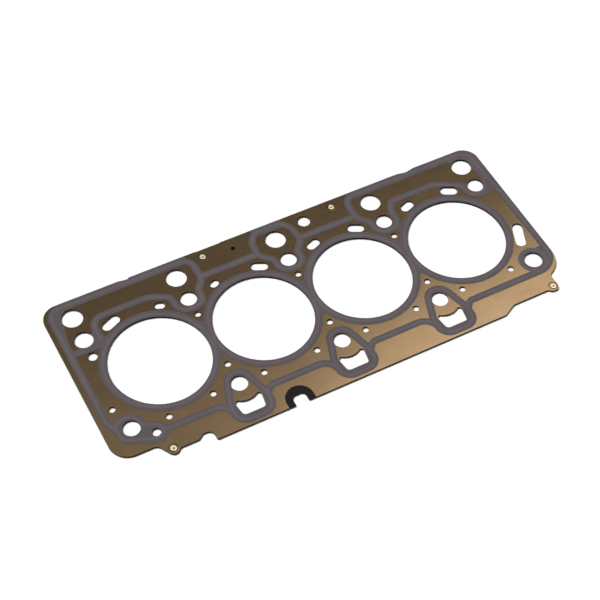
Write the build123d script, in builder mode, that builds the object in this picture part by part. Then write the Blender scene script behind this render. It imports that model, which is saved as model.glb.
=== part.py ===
"""Cylinder head gasket for a four-cylinder engine, made as a stack of steel layers.

X runs along the row of bores, Y across it and Z up towards the cylinder head.
The origin is in the middle of the bore row, on the face that lies on the block.
"""

import os
from math import atan2, degrees, hypot

from build123d import *

os.makedirs("parts", exist_ok=True)

# Bores and head bolts: the bolt rows are set back from the bore walls
bore_opening = 80.1
web_width = 7.9
near_bolt_setback = 5.85
far_bolt_setback = 2.05
bolt_hole = 13.6
dowel_hole = 15.0

# Outer edge, measured from the end bolt columns and the bolt rows
left_margin = 21.3
right_margin = 18.5
near_margin = 36.5
far_margin = 39.5
near_step = 5.7
left_shelf = 14.6
right_shelf = 3.9
corner_radius = 13.5
near_left_radius = 15.0
near_right_radius = 19.0

# Oil and coolant passages
return_spacing = 22.5
return_hole = 17.0
coolant_hole = 5.2
near_coolant_setback = 5.35
web_near_inset = 13.55
web_far_inset = 14.55
vent_hole = 7.6
oil_feed_hole = 7.0
service_hole = 10.6
service_inset = 10.4
pin_hole = 3.8
drain_half_width = 11.4
drain_bottom_half_width = 9.3
drain_offset = 13.3
drain_depth = 13.6
drain_saddle_radius = 14.5

# Shallow recess in the upper sheet's far edge, which bares a strip of the core
recess_offset = 8.5
recess_length = 21.0
recess_depth = 0.6

# Rubber-lined notch in the near edge
notch_offset = 9.4
notch_half_width = 5.5
notch_depth = 8.2
notch_corner = 3.7
notch_seal_width = 5.8
notch_seal_lap = 3.0
seal_clearance = 0.1
seal_recess = 0.05

# Layer stack, from the block up
print_height = 0.10
sheet_thickness = 0.25
core_thickness = 0.70
bead_height = 0.20
stopper_height = 0.12
stopper_width = 1.2

# Combustion beads
bead_setback = 1.45
bead_width = 2.2
bead_wall = 0.25

# Printed sealing tracks
pad_corner = 1.5
ring_print_width = 6.15
web_print_inset = 8.0
web_print_width = 3.0
track_width = 6.0
drain_print_width = 26.0
drain_print_height = 15.0
drain_print_drop = 3.2
dowel_print_radius = 12.2
far_track_offset = 15.2
near_track_offset = 12.0
perimeter_inset = 3.8
left_track_inset = 6.7
right_track_inset = 2.8

# Hollow rivets that hold the layers together
rivet_flange_radius = 3.0
rivet_shank_radius = 2.0
rivet_bore_radius = 1.55
rivet_head_height = 0.25
rivet_clearance = 0.05

# Places along X
bore_pitch = bore_opening + web_width
columns = [bore_pitch * i for i in (-2, -1, 0, 1, 2)]
bores = [bore_pitch * i for i in (-1.5, -0.5, 0.5, 1.5)]
first, second, middle, fourth, last = columns
left_x = first - left_margin
right_x = last + right_margin
notch_x = bores[1] - notch_offset

# Places along Y
bore_radius = bore_opening / 2
near_bolt_y = -bore_radius - near_bolt_setback
far_bolt_y = bore_radius + far_bolt_setback
return_y = far_bolt_y + return_spacing
near_coolant_y = -bore_radius - near_coolant_setback
web_near_y = web_near_inset - bore_radius
web_far_y = bore_radius - web_far_inset
far_edge_y = far_bolt_y + far_margin
near_edge_y = near_bolt_y - near_margin
near_step_y = near_edge_y + near_step
left_shelf_y = near_edge_y + left_shelf
service_y = far_edge_y - service_inset
drain_top_y = near_bolt_y - drain_offset
drain_bottom_y = drain_top_y - drain_depth
notch_top_y = near_edge_y + notch_depth
far_track_y = far_bolt_y + far_track_offset
near_track_y = near_bolt_y - near_track_offset
perimeter_y = far_edge_y - perimeter_inset

# Radii round each bore
bead_inner_radius = bore_radius + bead_setback
bead_outer_radius = bead_inner_radius + bead_width
ring_radius = bore_radius + ring_print_width

# Heights of the layers
lower_z = print_height
core_z = lower_z + sheet_thickness + bead_height
upper_z = core_z + core_thickness + bead_height
top_z = upper_z + sheet_thickness

rivets = [
    (first + 20.4, near_edge_y + 7.5),
    (last - 0.3, near_edge_y + 7.4),
    (bores[1] - 16.0, far_edge_y - 7.1),
    (bores[2] + 12.8, far_edge_y - 7.1),
]


def around(x, y, offsets):
    """Places given as offsets from a centre."""
    return [(x + dx, y + dy) for dx, dy in offsets]


# Bolt, return and coolant holes
bolt_holes = [(x, near_bolt_y) for x in columns[:-1]] + [(x, far_bolt_y) for x in columns[1:]]
dowel_holes = [(first, far_bolt_y), (last, near_bolt_y)]
return_holes = [(x, return_y) for x in columns]
coolant_holes = [(x, y) for x in columns[1:-1] for y in (web_near_y, web_far_y)]
coolant_holes += [(x + dx, near_coolant_y) for x in bores[1:] for dx in (-22.8, 22.6)]
coolant_holes += [
    (bores[0] + 22.5, near_coolant_y),
    (bores[0] - 15.2, near_coolant_y - 3.4),
    (first - 6.2, near_bolt_y + 21.0),
]

# Coolant slots: centres of the two ends, and the end radius
slots = [
    (bores[0] - 23.0, far_bolt_y + 3.9, bores[0] - 15.3, far_bolt_y + 7.2, 4.2),
    (bores[0] + 20.0, far_bolt_y + 4.4, bores[0] + 22.2, far_bolt_y + 3.5, 3.1),
    (bores[1] - 20.5, far_bolt_y + 3.9, bores[1] - 18.5, far_bolt_y + 4.7, 3.1),
    (bores[1] + 17.0, far_bolt_y + 5.2, bores[1] + 22.8, far_bolt_y + 2.6, 3.9),
    (bores[2] - 21.4, far_bolt_y + 3.9, bores[2] - 16.6, far_bolt_y + 5.7, 3.8),
    (bores[2] + 17.0, far_bolt_y + 5.5, bores[2] + 22.7, far_bolt_y + 2.7, 3.9),
    (bores[3] - 21.0, far_bolt_y + 4.9, bores[3] - 16.3, far_bolt_y + 6.6, 3.9),
    (bores[3] + 18.0, far_bolt_y + 6.2, bores[3] + 23.7, far_bolt_y + 3.4, 4.2),
    (last + 6.6, near_bolt_y + 33.9, last + 1.2, near_bolt_y + 20.2, 4.5),
]

# Outer edge, clockwise from the far left corner: X, Y and corner radius
rivet_lobe_y = rivets[0][1] - 4.8
edge = [
    (left_x, far_edge_y, corner_radius),
    (bores[0] + 1.5, far_edge_y, 4.0),
    (bores[0] + 8.0, far_edge_y - 1.0, 1.2),
    (bores[0] + 9.6, far_edge_y - 1.0, 0.5),
    (bores[0] + 11.0, far_edge_y, 0.6),
    (bores[3] - 9.0, far_edge_y, 12.0),
    (bores[3] - 1.0, far_edge_y - 1.5, 8.0),
    (bores[3] + 7.0, far_edge_y, 12.0),
    (right_x, far_edge_y, corner_radius),
    (right_x, near_bolt_y - 10.6, near_right_radius),
    (last + right_shelf, near_bolt_y - 18.7, 3.0),
    (last + right_shelf, rivets[1][1] - 4.4, 4.2),
    (rivets[1][0] - 3.1, rivets[1][1] - 4.4, 5.0),
    (rivets[1][0] - 5.9, near_step_y, 3.0),
    (bores[3] + 5.5, near_step_y, 5.0),
    (bores[3] - 5.5, near_edge_y, 4.0),
    (bores[0] + 8.2, near_edge_y, 1.0),
    (bores[0] + 8.2, near_step_y + 3.2, 5.0),
    (bores[0] + 0.5, near_step_y + 3.2, 4.0),
    (bores[0] - 4.0, near_step_y, 2.5),
    (rivets[0][0] + 4.8, near_step_y, 3.0),
    (rivets[0][0] + 1.8, rivet_lobe_y, 4.5),
    (rivets[0][0] - 2.9, rivet_lobe_y, 4.5),
    (rivets[0][0] - 9.9, left_shelf_y, 6.0),
    (left_x, left_shelf_y, near_left_radius),
]


def notch(half_width, top_y, corner):
    """U-shaped notch open to the near edge, as a closed outline."""
    with BuildSketch(mode=Mode.PRIVATE) as shape:
        with BuildLine():
            FilletPolyline(
                (notch_x - half_width, near_edge_y - 5),
                (notch_x - half_width, top_y),
                (notch_x + half_width, top_y),
                (notch_x + half_width, near_edge_y - 5),
                radius=corner,
            )
            Line((notch_x - half_width, near_edge_y - 5), (notch_x + half_width, near_edge_y - 5))
        make_face()
    return shape.sketch


seal_half_width = notch_half_width + notch_seal_width
seal_top_y = notch_top_y + notch_seal_width + 1.5
seal_corner = seal_half_width - 0.2

with BuildSketch() as openings:
    with Locations(*[(x, 0) for x in bores]):
        Circle(bore_radius)
    with Locations(*bolt_holes):
        Circle(bolt_hole / 2)
    with Locations(*dowel_holes):
        Circle(dowel_hole / 2)
    with Locations(*return_holes):
        Circle(return_hole / 2)
    with Locations(*coolant_holes):
        Circle(coolant_hole / 2)
    with Locations((first, far_bolt_y - 17.1)):
        Circle(vent_hole / 2)
    with Locations((first + 15.0, near_bolt_y - 11.2)):
        Circle(oil_feed_hole / 2)
    with Locations((bores[2] - 14.6, service_y)):
        Circle(service_hole / 2)
    with Locations((bores[1] + 9.2, service_y)):
        Circle(pin_hole / 2)
    for x1, y1, x2, y2, end_radius in slots:
        with Locations(Location(((x1 + x2) / 2, (y1 + y2) / 2), degrees(atan2(y2 - y1, x2 - x1)))):
            SlotCenterToCenter(hypot(x2 - x1, y2 - y1), 2 * end_radius)

# Oil drain below each near bolt, saddled round the bolt's boss
with BuildSketch() as drain:
    with BuildLine():
        Polyline(
            (-drain_half_width, drain_top_y),
            (drain_half_width, drain_top_y),
            (drain_bottom_half_width, drain_bottom_y),
            (-drain_bottom_half_width, drain_bottom_y),
            close=True,
        )
    make_face()
    fillet(drain.vertices().group_by(Axis.Y)[0], 3.2)
    fillet(drain.vertices().group_by(Axis.Y)[-1], 2.7)
    with Locations((0, near_bolt_y - 1.4)):
        Circle(drain_saddle_radius, mode=Mode.SUBTRACT)

with BuildSketch() as blank:
    with BuildLine():
        FilletPolyline(*[(x, y) for x, y, r in edge], radius=[r for x, y, r in edge], close=True)
    make_face()
    add(openings.sketch, mode=Mode.SUBTRACT)
    with Locations(*[(x, 0) for x in columns[1:-1]]):
        add(drain.sketch, mode=Mode.SUBTRACT)


def ribbon(net, width, closed=False):
    """Band of even width along a path of points, each with its corner radius."""
    corners = net if closed else net[1:-1]
    with BuildLine() as path:
        FilletPolyline(*[(x, y) for x, y, r in net], radius=[r for x, y, r in corners], close=closed)
    with BuildSketch(mode=Mode.PRIVATE) as band:
        trace(path.line, line_width=width)
    return band.sketch


# Centre lines of the sealing tracks: points and corner radii
left_track_x = left_x + left_track_inset
right_track_x = right_x - right_track_inset
far_end_x = last + 13.5

left_net = [
    (first + 12.0, far_bolt_y - 8.1, 0),
    (first + 12.0, far_track_y, 10.0),
    (bores[0] + 16.0, far_track_y, 14.0),
    (second - 12.5, far_bolt_y + 8.0, 6.0),
    (second - 10.5, far_bolt_y - 9.4, 8.5),
    (second + 10.5, far_bolt_y - 9.4, 8.5),
    (second + 10.5, far_bolt_y + 4.0, 5.0),
    (second + 17.8, far_track_y - 2.3, 8.0),
    (second + 17.8, perimeter_y, 10.0),
    (left_track_x, perimeter_y, 9.5),
    (left_track_x, near_bolt_y + 11.0, 5.0),
    (first - 10.5, near_bolt_y + 4.0, 0),
]
right_edge_net = [
    (fourth + 21.5, near_track_y, 0),
    (right_track_x, near_track_y, 17.0),
    (right_track_x, far_bolt_y - 18.1, 40.0),
    (far_end_x, far_bolt_y + 5.9, 40.0),
    (far_end_x, perimeter_y, 10.0),
    (fourth - 18.3, perimeter_y, 10.0),
    (fourth - 18.3, far_track_y - 2.3, 8.0),
    (fourth - 10.5, far_bolt_y + 4.0, 5.0),
    (fourth - 10.5, far_bolt_y - 9.4, 8.5),
    (fourth + 10.5, far_bolt_y - 9.4, 8.5),
    (fourth + 10.5, far_bolt_y + 6.0, 8.0),
    (fourth + 15.0, far_track_y + 0.9, 7.0),
    (bores[3], far_track_y + 0.9, 0),
]
right_arch = [
    (bores[3] - 1.0, far_track_y + 0.9, 0),
    (bores[3] + 13.0, far_track_y + 0.9, 13.0),
    (last - 10.5, far_bolt_y + 5.0, 8.0),
    (last - 9.0, far_bolt_y - 8.5, 6.5),
    (last + 4.0, far_bolt_y - 8.5, 8.0),
    (far_end_x - 1.0, far_bolt_y + 6.0, 0),
]
centre_loop = [
    (-10.5, far_bolt_y - 9.4, 8.5),
    (10.5, far_bolt_y - 9.4, 8.5),
    (10.5, far_bolt_y + 4.5, 5.0),
    (18.8, far_track_y - 1.3, 8.0),
    (16.8, far_track_y + 12.7, 10.0),
    (11.0, perimeter_y, 6.0),
    (-12.5, perimeter_y, 6.0),
    (-18.6, far_track_y + 12.7, 10.0),
    (-20.0, far_track_y - 1.3, 8.0),
    (-10.5, far_bolt_y + 4.5, 5.0),
]
drain_loop = [
    (-6.0, near_bolt_y + 9.9, 8.5),
    (7.5, near_bolt_y + 9.9, 9.0),
    (14.8, near_track_y - 3.0, 20.0),
    (14.8, drain_bottom_y - 4.8, 9.0),
    (-14.8, drain_bottom_y - 4.8, 9.0),
    (-14.8, near_track_y - 3.0, 20.0),
]
oil_feed_loop = [
    (-10.8, 7.0, 4.0),
    (-2.0, 10.3, 6.0),
    (5.5, 8.5, 5.0),
    (9.5, -1.5, 5.0),
    (19.5, -6.5, 3.0),
    (22.5, -12.0, 3.0),
    (15.5, -18.0, 3.0),
    (11.0, -17.8, 3.0),
    (5.0, -14.0, 6.0),
    (-9.5, -7.0, 5.0),
]
# Bend from the near track into each drain loop, as offsets from the bolt column
drain_bend = [
    (-30.0, near_track_y, 0),
    (-14.6, near_track_y, 12.5),
    (-14.8, near_track_y - 15.0, 0),
]
# Print that carries the near track out of each drain loop, as offsets from the bolt
drain_exit = [
    (14.0, -12.5),
    (17.0, -11.2),
    (21.5, -9.0),
    (21.5, -15.0),
    (17.8, -19.0),
    (14.0, -19.0),
]
straight_tracks = [
    (first + 22.0, near_track_y, second - 28.0, near_track_y),
    (second + 21.5, near_track_y, middle - 28.0, near_track_y),
    (middle + 21.5, near_track_y, fourth - 28.0, near_track_y),
    (second + 17.8, far_track_y, middle - 19.0, far_track_y),
    (middle + 18.0, far_track_y, fourth - 18.3, far_track_y),
]


# Pad round the near left bolt and the oil feed, as offsets from that bolt
near_left_pad = [
    (-14.6, 14.0),
    (-8.0, 9.5),
    (-2.0, 13.0),
    (7.0, 11.0),
    (11.0, 0.5),
    (21.0, -4.0),
    (24.5, -9.0),
    (24.5, -15.0),
    (17.0, -21.0),
    (11.5, -21.0),
    (6.0, -17.0),
    (-10.0, -9.5),
    (-13.0, 1.0),
]

# Pads round the far right oil return and bolt, and beside the near right bolt, as offsets from each
return_pad = [
    (-9.0, 17.0),
    (-9.0, 9.4),
    (-5.0, 7.0),
    (5.5, -3.5),
    (8.0, -7.0),
    (8.0, -20.0),
    (15.0, -22.0),
    (15.0, 17.0),
]
far_right_pad = [
    (-5.0, -8.5),
    (-3.0, -12.4),
    (3.0, -12.2),
    (9.0, -10.0),
    (14.5, -4.5),
    (14.5, 3.0),
    (8.0, 3.0),
]
near_right_pad = [
    (4.0, 8.0),
    (10.5, 10.2),
    (15.5, 8.5),
    (15.5, 2.0),
    (8.0, 0.0),
]

pads = [
    (first, near_bolt_y, near_left_pad),
    (last, return_y, return_pad),
    (last, far_bolt_y, far_right_pad),
    (last, near_bolt_y, near_right_pad),
]

# Solid print along the far edge and the right end: left, lower, right and upper limits
solid_prints = [
    (left_x + 15.0, far_edge_y - 7.6, second + 15.0, far_edge_y),
    (middle - 14.0, far_edge_y - 8.2, middle + 12.0, far_edge_y),
    (fourth - 15.0, far_edge_y - 7.6, right_x, far_edge_y),
    (last + 13.0, near_bolt_y + 22.0, right_x, far_edge_y),
    (left_x + 6.3, far_bolt_y - 12.5, first + 15.0, far_bolt_y - 6.7),
]

with BuildSketch() as print_plan:
    for net in (left_net, right_edge_net, right_arch):
        add(ribbon(net, track_width))
    add(ribbon(centre_loop, track_width, closed=True))
    with Locations(*[(x, 0) for x in columns[1:-1]]):
        add(ribbon(drain_loop, track_width, closed=True))
        add(ribbon(drain_bend, track_width))
        Rectangle(web_print_width, web_far_y - web_near_y - 2 * web_print_inset)
    with Locations(*[(x, drain_top_y - drain_print_height / 2 - drain_print_drop) for x in columns[1:-1]]):
        Rectangle(drain_print_width, drain_print_height)
    for x in columns[1:-1]:
        with BuildLine():
            Polyline(*around(x, near_bolt_y, drain_exit), close=True)
        make_face()
    with Locations((first, near_bolt_y)):
        add(ribbon(oil_feed_loop, track_width, closed=True))
    for x1, y1, x2, y2 in straight_tracks:
        with Locations(((x1 + x2) / 2, y1)):
            Rectangle(x2 - x1, track_width)
    with Locations(*[(x, 0) for x in bores]):
        Circle(ring_radius)
    for x, y, pad in pads:
        with BuildLine():
            FilletPolyline(*around(x, y, pad), radius=pad_corner, close=True)
        make_face()
    with Locations((last, near_bolt_y)):
        Circle(dowel_print_radius)
    for x1, y1, x2, y2 in solid_prints:
        with Locations(((x1 + x2) / 2, (y1 + y2) / 2)):
            Rectangle(x2 - x1, y2 - y1)
    add(blank.sketch, mode=Mode.INTERSECT)


# Steel layers: the outer two lose the whole seal's width at the notch
with BuildSketch() as outer_plan:
    add(blank.sketch)
    add(notch(seal_half_width, seal_top_y, seal_corner), mode=Mode.SUBTRACT)
    with Locations(*rivets):
        Circle(rivet_shank_radius + rivet_clearance, mode=Mode.SUBTRACT)

with BuildSketch() as core_plan:
    add(blank.sketch)
    add(notch(seal_half_width - notch_seal_lap, seal_top_y - notch_seal_lap, seal_corner - notch_seal_lap),
        mode=Mode.SUBTRACT)
    with Locations(*rivets):
        Circle(rivet_shank_radius + rivet_clearance, mode=Mode.SUBTRACT)


def combustion_beads(widening=0):
    """Rings for the combustion beads, each side widened by the given amount."""
    with BuildSketch(mode=Mode.PRIVATE) as beads:
        with Locations(*[(x, 0) for x in bores]):
            Circle(bead_outer_radius + widening)
            Circle(bead_inner_radius - widening, mode=Mode.SUBTRACT)
    return beads.sketch


with BuildSketch() as seal_plan:
    add(notch(seal_half_width - seal_clearance, seal_top_y - seal_clearance, seal_corner - seal_clearance))
    add(notch(notch_half_width, notch_top_y, notch_corner), mode=Mode.SUBTRACT)
    with Locations((notch_x, near_edge_y + seal_half_width * 2)):
        Rectangle(seal_half_width * 4, seal_half_width * 4, mode=Mode.INTERSECT)

with BuildPart() as lower_active_layer:
    with BuildSketch(Plane.XY.offset(lower_z)):
        add(outer_plan.sketch)
    extrude(amount=sheet_thickness)
    with BuildSketch(Plane.XY.offset(lower_z + sheet_thickness)):
        add(combustion_beads())
    extrude(amount=bead_height)
    with BuildSketch(Plane.XY.offset(lower_z)):
        add(combustion_beads(-bead_wall))
    extrude(amount=bead_height, mode=Mode.SUBTRACT)

with BuildPart() as core_layer:
    with BuildSketch(Plane.XY.offset(core_z)):
        add(core_plan.sketch)
    extrude(amount=core_thickness)

with BuildPart() as upper_active_layer:
    with BuildSketch(Plane.XY.offset(upper_z)):
        add(outer_plan.sketch)
        with Locations((bores[1] - recess_offset, far_edge_y)):
            Rectangle(recess_length, 2 * recess_depth, mode=Mode.SUBTRACT)
    extrude(amount=sheet_thickness)
    with BuildSketch(Plane.XY.offset(upper_z - bead_height)):
        add(combustion_beads())
    extrude(amount=bead_height)
    with BuildSketch(Plane.XY.offset(top_z)):
        add(combustion_beads(-bead_wall))
    extrude(amount=-bead_height, mode=Mode.SUBTRACT)

# Stopper rings, welded on the core round each bore
with BuildPart() as stopper_rings:
    with BuildSketch(Plane.XY.offset(core_z + core_thickness)):
        with Locations(*[(x, 0) for x in bores]):
            Circle(bore_radius + stopper_width)
            Circle(bore_radius, mode=Mode.SUBTRACT)
    extrude(amount=stopper_height)

# Printed elastomer on both faces
with BuildPart() as lower_seal_print:
    with BuildSketch():
        add(print_plan.sketch)
    extrude(amount=print_height)

with BuildPart() as upper_seal_print:
    with BuildSketch(Plane.XY.offset(top_z)):
        add(print_plan.sketch)
    extrude(amount=print_height)

# Rubber seal moulded round the core's edge in the notch
with BuildPart() as notch_seal:
    with BuildSketch(Plane.XY.offset(lower_z + seal_recess)):
        add(seal_plan.sketch)
    extrude(amount=top_z - lower_z - 2 * seal_recess)
    with BuildSketch(Plane.XY.offset(core_z)):
        add(core_plan.sketch)
    extrude(amount=core_thickness, mode=Mode.SUBTRACT)

# Hollow rivets: a shank, a flat foot under the stack and a rolled head above it
with BuildPart() as rivet:
    with BuildSketch(Plane.XZ) as profile:
        with BuildLine():
            Polyline(
                (rivet_bore_radius, 0),
                (rivet_flange_radius, 0),
                (rivet_flange_radius, lower_z),
                (rivet_shank_radius, lower_z),
                (rivet_shank_radius, top_z),
                (rivet_flange_radius, top_z),
                (rivet_flange_radius, top_z + rivet_head_height),
                (rivet_bore_radius, top_z + rivet_head_height),
                close=True,
            )
        make_face()
        chamfer(profile.vertices().group_by(Axis.Y)[-1], rivet_head_height * 0.45)
    revolve(axis=Axis.Z)

with BuildPart() as rivet_set:
    with Locations(*[(x, y, 0) for x, y in rivets]):
        add(rivet.part)

named_parts = {
    "lower_seal_print": lower_seal_print,
    "lower_active_layer": lower_active_layer,
    "core_layer": core_layer,
    "stopper_rings": stopper_rings,
    "upper_active_layer": upper_active_layer,
    "upper_seal_print": upper_seal_print,
    "notch_seal": notch_seal,
    "rivets": rivet_set,
}
for label, piece in named_parts.items():
    piece.part.label = label
    export_step(piece.part, f"parts/{label}.step")
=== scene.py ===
"""Looks for the cylinder head gasket: materials, bead relief, rivets, studio and camera."""
import math

import bpy
from mathutils import Matrix, Vector


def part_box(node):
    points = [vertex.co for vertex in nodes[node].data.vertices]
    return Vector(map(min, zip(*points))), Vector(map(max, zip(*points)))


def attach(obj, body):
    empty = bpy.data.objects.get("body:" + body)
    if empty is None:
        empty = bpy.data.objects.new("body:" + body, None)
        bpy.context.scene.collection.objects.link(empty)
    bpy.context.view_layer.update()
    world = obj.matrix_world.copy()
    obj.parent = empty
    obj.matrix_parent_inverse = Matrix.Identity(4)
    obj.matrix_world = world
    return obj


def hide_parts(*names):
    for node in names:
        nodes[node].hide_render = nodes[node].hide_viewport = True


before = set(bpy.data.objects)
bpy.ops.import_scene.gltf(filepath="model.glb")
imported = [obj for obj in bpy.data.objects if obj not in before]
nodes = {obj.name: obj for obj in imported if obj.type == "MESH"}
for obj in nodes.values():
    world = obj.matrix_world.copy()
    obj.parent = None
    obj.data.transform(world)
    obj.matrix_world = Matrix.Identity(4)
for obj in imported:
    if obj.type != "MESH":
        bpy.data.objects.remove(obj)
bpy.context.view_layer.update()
MM = 0.001

# Most values of a noise texture lie between these
NOISE_LOW, NOISE_HIGH = 0.3, 0.7
# Z part of a face's normal, up or down: sheared edge below the first, flat above the second
EDGE_Z, FLAT_Z = 0.35, 0.75


def set_inputs(made, **values):
    """Inputs of a shader node set by name, with _ for a space."""
    for key, value in values.items():
        made.inputs[key.replace("_", " ")].default_value = value
    return made


def node(mat, kind, **values):
    """New shader node."""
    return set_inputs(mat.node_tree.nodes.new(kind), **values)


def link(mat, out, into):
    """Two sockets joined."""
    mat.node_tree.links.new(out, into)


def material(name, color, roughness, metallic=0.0, specular=0.5):
    """New procedural material and its shader."""
    mat = bpy.data.materials.new(name)
    mat.use_nodes = True
    shader = mat.node_tree.nodes["Principled BSDF"]
    set_inputs(shader, Base_Color=(*color, 1), Metallic=metallic, Roughness=roughness,
               Specular_IOR_Level=specular)
    return mat, shader


def noise(mat, scale, detail, stretch=(1, 1, 1)):
    """Noise in the row frame, stretched along an axis where asked."""
    coords = node(mat, "ShaderNodeTexCoord")
    mapping = node(mat, "ShaderNodeMapping", Scale=stretch)
    tex = node(mat, "ShaderNodeTexNoise", Scale=scale, Detail=detail)
    link(mat, coords.outputs["Object"], mapping.inputs["Vector"])
    link(mat, mapping.outputs["Vector"], tex.inputs["Vector"])
    return tex


def tinted(mat, tex, low, high, ends=(NOISE_LOW, NOISE_HIGH)):
    """Colour that a texture moves between two linear colours."""
    made = node(mat, "ShaderNodeValToRGB")
    for element, place, color in zip(made.color_ramp.elements, ends, (low, high)):
        element.position = place
        element.color = (*color, 1)
    link(mat, tex.outputs["Fac"], made.inputs["Fac"])
    return made.outputs["Color"]


def rough(mat, shader, tex, low, high):
    """Roughness that a texture moves between two values."""
    made = node(mat, "ShaderNodeMapRange", From_Min=NOISE_LOW, From_Max=NOISE_HIGH,
                To_Min=low, To_Max=high)
    link(mat, tex.outputs["Fac"], made.inputs["Value"])
    link(mat, made.outputs["Result"], shader.inputs["Roughness"])


def bump(mat, shader, tex, strength, distance):
    """Fine relief from a texture, its depth in metres."""
    made = node(mat, "ShaderNodeBump", Strength=strength, Distance=distance)
    link(mat, tex.outputs["Fac"], made.inputs["Height"])
    link(mat, made.outputs["Normal"], shader.inputs["Normal"])


def with_painted_wall_shade(mat, shader, face, wall_shade):
    """Face colour on the flat of a sheet, and a darker colour on its sheared edges, which is
    painted shade.
    """
    geometry = node(mat, "ShaderNodeNewGeometry")
    split = node(mat, "ShaderNodeSeparateXYZ")
    unsigned = node(mat, "ShaderNodeMath")
    unsigned.operation = "ABSOLUTE"
    flat = node(mat, "ShaderNodeMapRange", From_Min=EDGE_Z, From_Max=FLAT_Z)
    blend = node(mat, "ShaderNodeMix")
    blend.data_type = "RGBA"
    # The Mix node has sockets of one name for numbers, vectors and colours: these are the colour's
    factor, wall_shade_color, face_color = (blend.inputs[i] for i in (0, 6, 7))
    blended = blend.outputs[2]
    wall_shade_color.default_value = (*wall_shade, 1)
    link(mat, geometry.outputs["Normal"], split.inputs["Vector"])
    link(mat, split.outputs["Z"], unsigned.inputs[0])
    link(mat, unsigned.outputs["Value"], flat.inputs["Value"])
    link(mat, flat.outputs["Result"], factor)
    link(mat, face, face_color)
    link(mat, blended, shader.inputs["Base Color"])


def coated(name, low, high):
    """Sheet steel with a thin baked coat: golden brown, with faint rolling marks and mottling, and
    painted shade on its sheared edges.
    """
    mat, shader = material(name, high, metallic=1.0, roughness=0.16)
    mottling = noise(mat, scale=45.0, detail=4.0)
    rolling = noise(mat, scale=60.0, detail=5.0, stretch=(0.6, 14.0, 1.0))
    # The dark colour on the sheared edges is painted shade
    with_painted_wall_shade(mat, shader, tinted(mat, mottling, low, high), wall_shade=(0.014, 0.011, 0.009))
    rough(mat, shader, rolling, low=0.14, high=0.18)
    bump(mat, shader, noise(mat, scale=1400.0, detail=2.0), strength=0.02, distance=0.00002)
    return mat


def elastomer(name, low, high, roughness):
    """Screen-printed elastomer: soft grey with a fine mesh grain, and painted shade on its sheared
    edges.
    """
    # Share of the low colour that the sheared edges keep: painted shade
    wall_shade_share = 0.3
    mat, shader = material(name, high, roughness=roughness, specular=0.32)
    cloud = noise(mat, scale=38.0, detail=4.0)
    with_painted_wall_shade(mat, shader, tinted(mat, cloud, low, high, ends=(0.32, 0.68)),
                   wall_shade=tuple(wall_shade_share * c for c in low))
    bump(mat, shader, noise(mat, scale=2600.0, detail=2.0), strength=0.22, distance=0.00003)
    return mat


# Coated sheets: flat, and darker copies of the coat as painted shade, in the rings pressed round
# the rivets and at the bottom of the pin hole
coat = coated("coated_sheet", (0.38, 0.250, 0.131), (0.42, 0.282, 0.152))
# Darker copy of the coat for the rings round the rivets: painted shade
ring_shade_coat = coated("coated_sheet_ring_shade", (0.24, 0.155, 0.070), (0.27, 0.176, 0.080))
# Darker copy of the coat for the disc in the pin hole: painted shade
hole_shade_coat = coated("coated_sheet_hole_shade", (0.15, 0.100, 0.050), (0.17, 0.114, 0.057))

# Core and stopper rings: bare rolled steel
bare, shader = material("bare_steel", (0.30, 0.28, 0.26), metallic=1.0, roughness=0.38)
grain = noise(bare, scale=90.0, detail=5.0, stretch=(0.5, 16.0, 1.0))
# Darker sheared edges: painted shade
with_painted_wall_shade(bare, shader, tinted(bare, grain, (0.26, 0.245, 0.23), (0.34, 0.32, 0.30)),
               wall_shade=(0.014, 0.012, 0.011))
rough(bare, shader, grain, low=0.30, high=0.48)
bump(bare, shader, grain, strength=0.15, distance=0.00002)

# Print, and a slightly lighter copy of it on the crown along its tracks, which is a painted
# highlight
seal = elastomer("seal_print", (0.082, 0.068, 0.074), (0.094, 0.079, 0.085), roughness=0.70)
crest_highlight = elastomer("seal_print_crest_highlight", (0.096, 0.081, 0.087), (0.110, 0.094, 0.101),
                  roughness=0.55)

# Moulded rubber
rubber, shader = material("rubber", (0.0075, 0.0055, 0.0075), roughness=0.60, specular=0.25)
bump(rubber, shader, noise(rubber, scale=900.0, detail=3.0), strength=0.25, distance=0.00004)

# Plated rivets
brass, shader = material("brass", (0.99, 0.90, 0.67), metallic=0.8, roughness=0.28)
rough(brass, shader, noise(brass, scale=600.0, detail=3.0), low=0.22, high=0.36)
bump(brass, shader, noise(brass, scale=1100.0, detail=3.0), strength=0.12, distance=0.00003)

finishes = {
    "lower_seal_print": seal,
    "lower_active_layer": coat,
    "core_layer": bare,
    "stopper_rings": bare,
    "upper_active_layer": coat,
    "upper_seal_print": seal,
    "notch_seal": rubber,
    "rivets": brass,
}
for name, finish in finishes.items():
    nodes[name].data.materials.clear()
    nodes[name].data.materials.append(finish)

# Rounded edges on the moulded seal
weld = nodes["notch_seal"].modifiers.new("weld", "WELD")
weld.merge_threshold = 0.000005
bevel = nodes["notch_seal"].modifiers.new("edges", "BEVEL")
bevel.width = 0.0003
bevel.segments = 3
bevel.limit_method = "ANGLE"
bevel.angle_limit = math.radians(50)

# Main places, in millimetres, as in the part
pitch = 88.0
columns = [pitch * i for i in (-2, -1, 0, 1, 2)]
bores = [pitch * i for i in (-1.5, -0.5, 0.5, 1.5)]
first, second, middle, fourth, last = columns
left_x, right_x = -197.3, 194.5
near_bolt_y, far_bolt_y = -45.9, 42.1
near_edge_y, far_edge_y = near_bolt_y - 36.5, far_bolt_y + 39.5
oil_return_y = far_bolt_y + 22.5
near_track_y, far_track_y, perimeter_y = -57.9, 57.3, 77.8
loop_bottom_y = -72.8 - 4.8
left_track_x, right_track_x, far_end_x = left_x + 6.7, right_x - 2.8, last + 13.5

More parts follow.
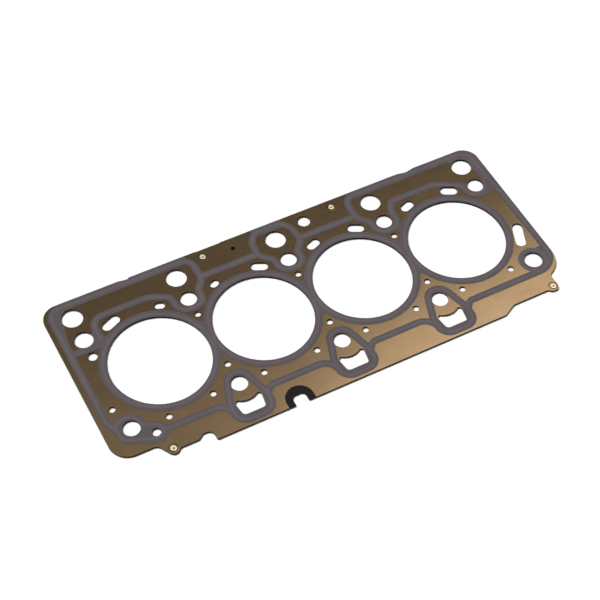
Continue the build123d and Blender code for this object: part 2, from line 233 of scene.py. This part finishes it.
# Heights of faces, in metres
print_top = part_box("upper_seal_print")[1].z
sheet_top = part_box("upper_active_layer")[1].z
sheet_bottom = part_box("lower_active_layer")[0].z
rivet_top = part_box("rivets")[1].z


def under_bolt(x):
    """The two corners of a track that passes below a far bolt."""
    return [(x + side * 10.5, far_bolt_y - 9.4, 8.5) for side in (-1, 1)]


def from_drain(x):
    """The start of a near track on the right of a drain's loop."""
    return [(x + 14.7, near_bolt_y - 20.5, 0), (x + 16.8, near_track_y, 6.0)]


def to_drain(x):
    """The end of a near track on the left of a drain's loop."""
    return [(x - 14.6, near_track_y, 12.5), (x - 14.8, near_track_y - 15.0, 0)]


# The printed tracks' corners: x, y and the radius of the bend
left_net = [
    (first + 12.0, far_bolt_y - 8.1, 0),
    (first + 12.0, far_track_y, 10.0),
    (bores[0] + 16.0, far_track_y, 14.0),
    (second - 12.5, far_bolt_y + 8.0, 6.0),
    *under_bolt(second),
    (second + 10.5, far_bolt_y + 4.0, 5.0),
    (second + 17.8, far_track_y - 2.3, 8.0),
    (second + 17.8, perimeter_y, 10.0),
    (left_track_x, perimeter_y, 9.5),
    (left_track_x, near_bolt_y + 11.0, 5.0),
    (first - 10.5, near_bolt_y + 4.0, 0),
]
right_edge_net = [
    *from_drain(fourth),
    (right_track_x, near_track_y, 17.0),
    (right_track_x, far_bolt_y - 18.1, 40.0),
    (far_end_x, far_bolt_y + 5.9, 40.0),
    (far_end_x, perimeter_y, 10.0),
    (fourth - 18.3, perimeter_y, 10.0),
    (fourth - 18.3, far_track_y - 2.3, 8.0),
    (fourth - 10.5, far_bolt_y + 4.0, 5.0),
    *under_bolt(fourth),
    (fourth + 10.5, far_bolt_y + 6.0, 8.0),
    (fourth + 15.0, far_track_y + 0.9, 7.0),
    (bores[3] - 1.0, far_track_y + 0.9, 0),
]
right_arch = [
    (bores[3] - 1.0, far_track_y + 0.9, 0),
    (bores[3] + 13.0, far_track_y + 0.9, 13.0),
    (last - 10.5, far_bolt_y + 5.0, 8.0),
    (last - 9.0, far_bolt_y - 8.5, 6.5),
    (last + 4.0, far_bolt_y - 8.5, 8.0),
    (far_end_x - 1.0, far_bolt_y + 6.0, 0),
]
near_tracks = [
    [(first + 22.0, near_track_y, 0), *to_drain(second)],
    [*from_drain(second), *to_drain(middle)],
    [*from_drain(middle), *to_drain(fourth)],
]
far_tracks = [
    [(second + 17.8, far_track_y, 0), (middle - 19.0, far_track_y, 0)],
    [(middle + 18.0, far_track_y, 0), (fourth - 18.3, far_track_y, 0)],
]
centre_loop = [
    *under_bolt(middle),
    (10.5, far_bolt_y + 4.5, 5.0),
    (18.8, far_track_y - 1.3, 8.0),
    (16.8, far_track_y + 12.7, 10.0),
    (11.0, perimeter_y, 6.0),
    (-12.5, perimeter_y, 6.0),
    (-18.6, far_track_y + 12.7, 10.0),
    (-20.0, far_track_y - 1.3, 8.0),
    (-10.5, far_bolt_y + 4.5, 5.0),
]
# Loop round a near bolt and the drain below it, its x from the column
drain_loop = [
    (-6.0, near_bolt_y + 9.9, 8.5),
    (7.5, near_bolt_y + 9.9, 9.0),
    (14.8, near_track_y - 3.0, 20.0),
    (14.8, loop_bottom_y, 9.0),
    (-14.8, loop_bottom_y, 9.0),
    (-14.8, near_track_y - 3.0, 20.0),
]
# Loop round the near left bolt and the oil feed beside it, from that bolt
oil_feed_loop = [
    (-10.8, 7.0, 4.0),
    (-2.0, 10.3, 6.0),
    (5.5, 8.5, 5.0),
    (9.5, -1.5, 5.0),
    (19.5, -6.0, 3.0),
    (21.7, -12.0, 3.0),
    (15.5, -16.0, 3.0),
    (10.0, -14.8, 3.0),
    (4.0, -12.4, 6.0),
    (-9.5, -7.0, 5.0),
]

# Points round a bore, the ring at the near right bolt, a rivet and the pin hole
BORE_STEPS, RING_STEPS, RIVET_STEPS, PIN_STEPS = 192, 64, 56, 32
# Bends: the turn that still counts as straight (radians), a step's length and the fewest steps
STRAIGHT, BEND_STEP, FEWEST_STEPS = 0.02, 1.2, 3
# Straight runs: a step's least length, and the points over which an open path rises at its ends
RUN_STEP, RISE_POINTS = 2.0, 2
# Least angle between two faces that stays sharp on the rivets, in degrees
SHARP_ANGLE = 35


def turned(x, y, angle):
    """A vector turned about the origin."""
    return Vector((x * math.cos(angle) - y * math.sin(angle),
                   x * math.sin(angle) + y * math.cos(angle)))


def circle(x, y, radius, steps):
    """Points round a circle."""
    angles = [2 * math.pi * k / steps for k in range(steps)]
    return [Vector((x + radius * math.cos(a), y + radius * math.sin(a))) for a in angles]


def arc(x, y, radius, start, end, steps=16):
    """Points on an arc between two angles in degrees."""
    angles = [math.radians(start + (end - start) * k / steps) for k in range(steps + 1)]
    return [(x + radius * math.cos(a), y + radius * math.sin(a)) for a in angles]


def rounded(net, closed=False, shift=(0, 0)):
    """Points along a path of straight runs joined by arcs."""
    corners = [Vector((x + shift[0], y + shift[1])) for x, y, _ in net]
    points = []
    for i, corner in enumerate(corners):
        if not closed and i in (0, len(corners) - 1):
            points.append(corner)
            continue
        radius = net[i][2]
        back = (corners[i - 1] - corner).normalized()
        ahead = (corners[(i + 1) % len(corners)] - corner).normalized()
        half = back.angle(ahead) / 2
        if half > math.pi / 2 - STRAIGHT:
            points.append(corner)
            continue
        centre = corner + (back + ahead).normalized() * (radius / math.sin(half))
        start = corner + back * (radius / math.tan(half)) - centre
        turn = math.pi - 2 * half
        side = 1 if start.x * back.y - start.y * back.x < 0 else -1
        steps = max(FEWEST_STEPS, int(turn * radius / BEND_STEP))
        points += [centre + turned(*start, side * turn * k / steps) for k in range(steps + 1)]
    return points


def divided(points, closed):
    """The same path with its long runs cut into short ones."""
    made = []
    for i, p in enumerate(points):
        if i == len(points) - 1 and not closed:
            made.append(p)
            break
        run = points[(i + 1) % len(points)] - p
        parts = max(1, int(run.length / RUN_STEP))
        made += [p + run * (k / parts) for k in range(parts)]
    return made


def hump(width, height, steps=8):
    """Rounded section that runs out flat at both sides."""
    shares = [k / steps for k in range(steps + 1)]
    return [(width * (s - 0.5), height * 0.5 * (1 - math.cos(2 * math.pi * s))) for s in shares]


def build(name, verts, faces, mat, slot, smooth=False):
    """New piece on the gasket's own body."""
    mesh = bpy.data.meshes.new(name)
    mesh.from_pydata(verts, [], faces)
    mesh.validate()
    for face in mesh.polygons:
        face.use_smooth = smooth
    mesh.materials.append(mat)
    piece = bpy.data.objects.new(name, mesh)
    bpy.context.collection.objects.link(piece)
    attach(piece, "root")
    return piece


def sweep(paths, section, ground):
    """Relief along flat paths: the section gives offsets across and heights above the ground."""
    verts, faces = [], []
    for points, closed in paths:
        points = divided(points, closed)
        count, base, wide = len(points), len(verts), len(section)
        for i, p in enumerate(points):
            before = points[i - 1] if i or closed else p
            after = points[(i + 1) % count] if i < count - 1 or closed else p
            along = (after - before).normalized()
            across = Vector((-along.y, along.x))
            rise = 1.0 if closed else min(1.0, i / RISE_POINTS, (count - 1 - i) / RISE_POINTS)
            for offset, height in section:
                q = p + across * offset
                verts.append((q.x * MM, q.y * MM, ground + rise * height * MM))
        for i in range(count if closed else count - 1):
            a, b = base + i * wide, base + (i + 1) % count * wide
            faces += [(a + k + 1, a + k, b + k, b + k + 1) for k in range(wide - 1)]
    return verts, faces


def prisms(outlines, from_z, to_z, both_ends=False):
    """Upright walls round outlines, closed by a face at the first height or at both."""
    verts, faces = [], []
    for outline in outlines:
        base, count = len(verts), len(outline)
        verts += [(x * MM, y * MM, z) for z in (from_z, to_z) for x, y in outline]
        faces.append([base + k for k in reversed(range(count))])
        if both_ends:
            faces.append([base + count + k for k in range(count)])
        for k in range(count):
            a, b = base + k, base + (k + 1) % count
            faces.append([a, b, b + count, a + count])
    return verts, faces


def revolved(profile, places, steps):
    """Closed profile of radii and heights, turned about an upright axis at each place."""
    verts, faces, count = [], [], len(profile)
    for x, y in places:
        base = len(verts)
        for k in range(steps):
            cos, sin = math.cos(2 * math.pi * k / steps), math.sin(2 * math.pi * k / steps)
            verts += [((x + r * cos) * MM, (y + r * sin) * MM, z * MM) for r, z in profile]
        for k in range(steps):
            a, b = base + k * count, base + (k + 1) % steps * count
            for i in range(count):
                j = (i + 1) % count
                faces.append((a + i, b + i, b + j, a + j))
    return verts, faces


# Crowns along the printed tracks and round the bores, in the lighter copy of the print: painted
# highlight
bead_width, track_bead, bore_bead = 2.2, 0.10, 0.08
bore_ring, corner_ring = 42.6, 10.6
open_tracks = (left_net, right_edge_net, right_arch, *near_tracks, *far_tracks)
tracks = [(rounded(net), False) for net in open_tracks]
tracks.append((rounded(centre_loop, True), True))
tracks += [(rounded(drain_loop, True, (x, 0)), True) for x in columns[1:-1]]
tracks.append((rounded(oil_feed_loop, True, (first, near_bolt_y)), True))
tracks.append((circle(last, near_bolt_y, corner_ring, RING_STEPS), True))
build("track_beads", *sweep(tracks, hump(bead_width, track_bead), print_top),
      crest_highlight, "seal_print", smooth=True)
rings = [(circle(x, 0, bore_ring, BORE_STEPS), True) for x in bores]
build("combustion_bead_relief", *sweep(rings, hump(bead_width, bore_bead), print_top),
      crest_highlight, "seal_print", smooth=True)

# Wider print at the far left corner, and the filled corner between the far left hole and its bore
lift = 0.004 * MM
widened = arc(first, oil_return_y, radius=8.7, start=201, end=112)
widened += [(first + x, y) for x, y in (
    (-2.0, 75.4), (-10.0, 76.5), (-13.6, 73.0), (-13.6, 45.0), (-11.5, 38.0), (-11.0, 45.2),
    (-9.9, 54.2))]
filled = arc(first, far_bolt_y, radius=7.7, start=18, end=-140)
filled += [(first + x, y) for x, y in (
    (-8.6, 33.6), (-8.0, 31.6), (-2.0, 29.8), (12.0, 31.0), (20.0, 35.0), (21.6, 38.6),
    (19.8, 39.6), (17.4, 38.3), (15.2, 38.0), (14.0, 41.0), (11.0, 46.0), (8.9, 46.5))]
build("print_fills", *prisms((widened, filled), print_top + lift, sheet_top + lift),
      seal, "seal_print")

# A disc at the lower sheet closes the small pin hole; it has a darker copy of the coat, painted
# shade, so that the hole looks dark from above
pin_x, pin_y, pin_radius = bores[1] + 9.2, far_bolt_y + 29.1, 1.95
disc_low, disc_high = sheet_bottom + 0.01 * MM, sheet_bottom + 0.24 * MM
disc = prisms([circle(pin_x, pin_y, pin_radius, PIN_STEPS)], disc_low, disc_high, both_ends=True)
build("pin_hole_shade_disc", *disc, hole_shade_coat, "coated_sheet")

# Hollow rivets with a rolled rim above the stack and a flat foot below it
rivet_places = [
    (first + 20.4, near_edge_y + 7.5),
    (last - 0.3, near_edge_y + 7.4),
    (bores[1] - 16.0, far_edge_y - 7.1),
    (bores[2] + 12.8, far_edge_y - 7.1),
]
eye, shank, rim, flange = 1.0, 2.0, 2.45, 3.0
foot, corner_in, corner_up = 0.1, 0.1, 0.03
roll, roll_base = (rim - eye) / 2, sheet_top / MM
roll_height, roll_steps = rivet_top / MM - roll_base, 12
profile = [
    (eye, 0.0),
    (flange - corner_in, 0.0),
    (flange, corner_up),
    (flange, foot),
    (shank, foot),
    (shank, roll_base),
]
for k in range(roll_steps + 1):
    angle = math.radians(180 / roll_steps * k)
    profile.append((eye + roll + roll * math.cos(angle), roll_base + roll_height * math.sin(angle)))
rolled = build("rolled_rivets", *revolved(profile, rivet_places, RIVET_STEPS),
               brass, "brass", smooth=True)
rolled.data.set_sharp_from_angle(angle=math.radians(SHARP_ANGLE))
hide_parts("rivets")

# The upper sheet is pressed into a low ring round each rivet, in a darker copy of the coat: painted
# shade round the rivets
ring_gap, ring_width, ring_height, ring_section = 0.75, 1.5, 0.05, 6
rings = [(circle(x, y, rim + ring_gap, RIVET_STEPS), True) for x, y in rivet_places]
build("rivet_rings", *sweep(rings, hump(ring_width, ring_height, ring_section), sheet_top),
      ring_shade_coat, "coated_sheet", smooth=True)

# Camera at the photograph's place, which was solved for the print's top face
right = Vector((0.8817, -0.4702, 0.0379))
down = Vector((-0.3578, -0.7189, -0.5960))
forward = Vector((0.3075, 0.5120, -0.8021))
place = Vector((-0.3686, -0.5936, 0.9332 + print_top))
camera = bpy.data.objects.new("camera", bpy.data.cameras.new("camera"))
bpy.context.collection.objects.link(camera)
facing = Matrix((right, -down, -forward)).transposed().to_4x4()
camera.matrix_world = Matrix.Translation(place) @ facing
camera.data.lens = 89.44
camera.data.sensor_width = 36.0
camera.data.clip_start = 0.01
bpy.context.scene.camera = camera

# Floor: pale and matt, a little below the gasket
floor_mat, shader = material("floor_white", (0.93, 0.93, 0.93), roughness=0.9, specular=0.1)
speck = noise(floor_mat, scale=30.0, detail=2.0)
paleness = tinted(floor_mat, speck, (0.925, 0.925, 0.925), (0.935, 0.935, 0.935))
link(floor_mat, paleness, shader.inputs["Base Color"])
bpy.ops.mesh.primitive_plane_add(size=8.0, location=(0, 0, -0.0002))
floor = bpy.context.object
floor.name = "floor"
floor.data.materials.append(floor_mat)


def lamp(name, kind, energy):
    """New light, in the scene."""
    made = bpy.data.objects.new(name, bpy.data.lights.new(name, kind))
    made.data.energy = energy
    bpy.context.collection.objects.link(made)
    return made


def mirrored(name, energy, place, shape, size, size_y=None):
    """Area light that is seen only in reflections."""
    made = lamp(name, "AREA", energy)
    made.data.shape = shape
    made.data.size = size
    if size_y:
        made.data.size_y = size_y
    made.location = place
    made.visible_diffuse = False


# Lights: a soft sun from behind, which isn't mirrored, three that are only mirrored, a dim room
sun = lamp("sun", "SUN", energy=3.4)
sun.data.angle = 0.35
sun.visible_glossy = False
sun.rotation_euler = Vector((0.42, -0.58, -1.4)).to_track_quat("-Z", "Y").to_euler()
mirrored("panel", energy=80.0, place=(2.64, 0.0, 4.4), shape="DISK", size=5.1)
mirrored("softbox", energy=36.0, place=(-1.62, 1.7, 4.0), shape="SQUARE", size=2.5)
mirrored("fill", energy=22.5, place=(1.35, 0.375, 4.45), shape="RECTANGLE", size=7.2, size_y=4.75)
world = bpy.data.worlds.new("room")
world.use_nodes = True
set_inputs(world.node_tree.nodes["Background"], Color=(0.95, 0.97, 1.0, 1), Strength=0.185)
bpy.context.scene.world = world

bpy.context.scene.view_settings.view_transform = "Standard"
